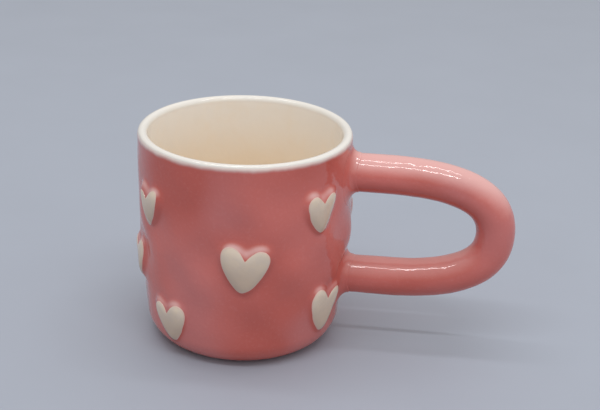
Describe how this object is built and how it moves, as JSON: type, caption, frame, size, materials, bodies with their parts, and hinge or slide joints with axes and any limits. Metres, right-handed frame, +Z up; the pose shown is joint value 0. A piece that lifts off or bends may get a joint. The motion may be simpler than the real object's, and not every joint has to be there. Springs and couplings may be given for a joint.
{
  "type": "mug",
  "caption": "Round-bottomed glazed stoneware mug with a pink outside, a cream inside and lip, raised cream hearts on the wall and a long round coil handle.",
  "frame": {"origin": "centre of the flat foot, on the cup's axis", "axes": "+Z up along the cup's axis to the rim, +X from the axis through the middle of the handle"},
  "size_m": [0.1533, 0.0884, 0.088],
  "materials": {
    "pink_glaze": "gloss",
    "cream_glaze": "gloss",
    "heart_cream": "gloss"
  },
  "bodies": {
    "root": {"cup_body": "pink_glaze", "cream_liner": "cream_glaze", "coil_handle": "pink_glaze", "upper_joint_bead": "pink_glaze", "lower_joint_bead": "pink_glaze", "heart_inside_handle": "heart_cream", "heart_lower_right": "heart_cream", "heart_upper_right": "heart_cream", "heart_front": "heart_cream", "heart_upper_left": "heart_cream", "heart_lower_left": "heart_cream", "heart_left": "heart_cream", "heart_upper_back_left": "heart_cream", "heart_lower_back_left": "heart_cream", "heart_back": "heart_cream", "heart_upper_back_right": "heart_cream", "heart_lower_back_right": "heart_cream"}
  },
  "joints": []
}
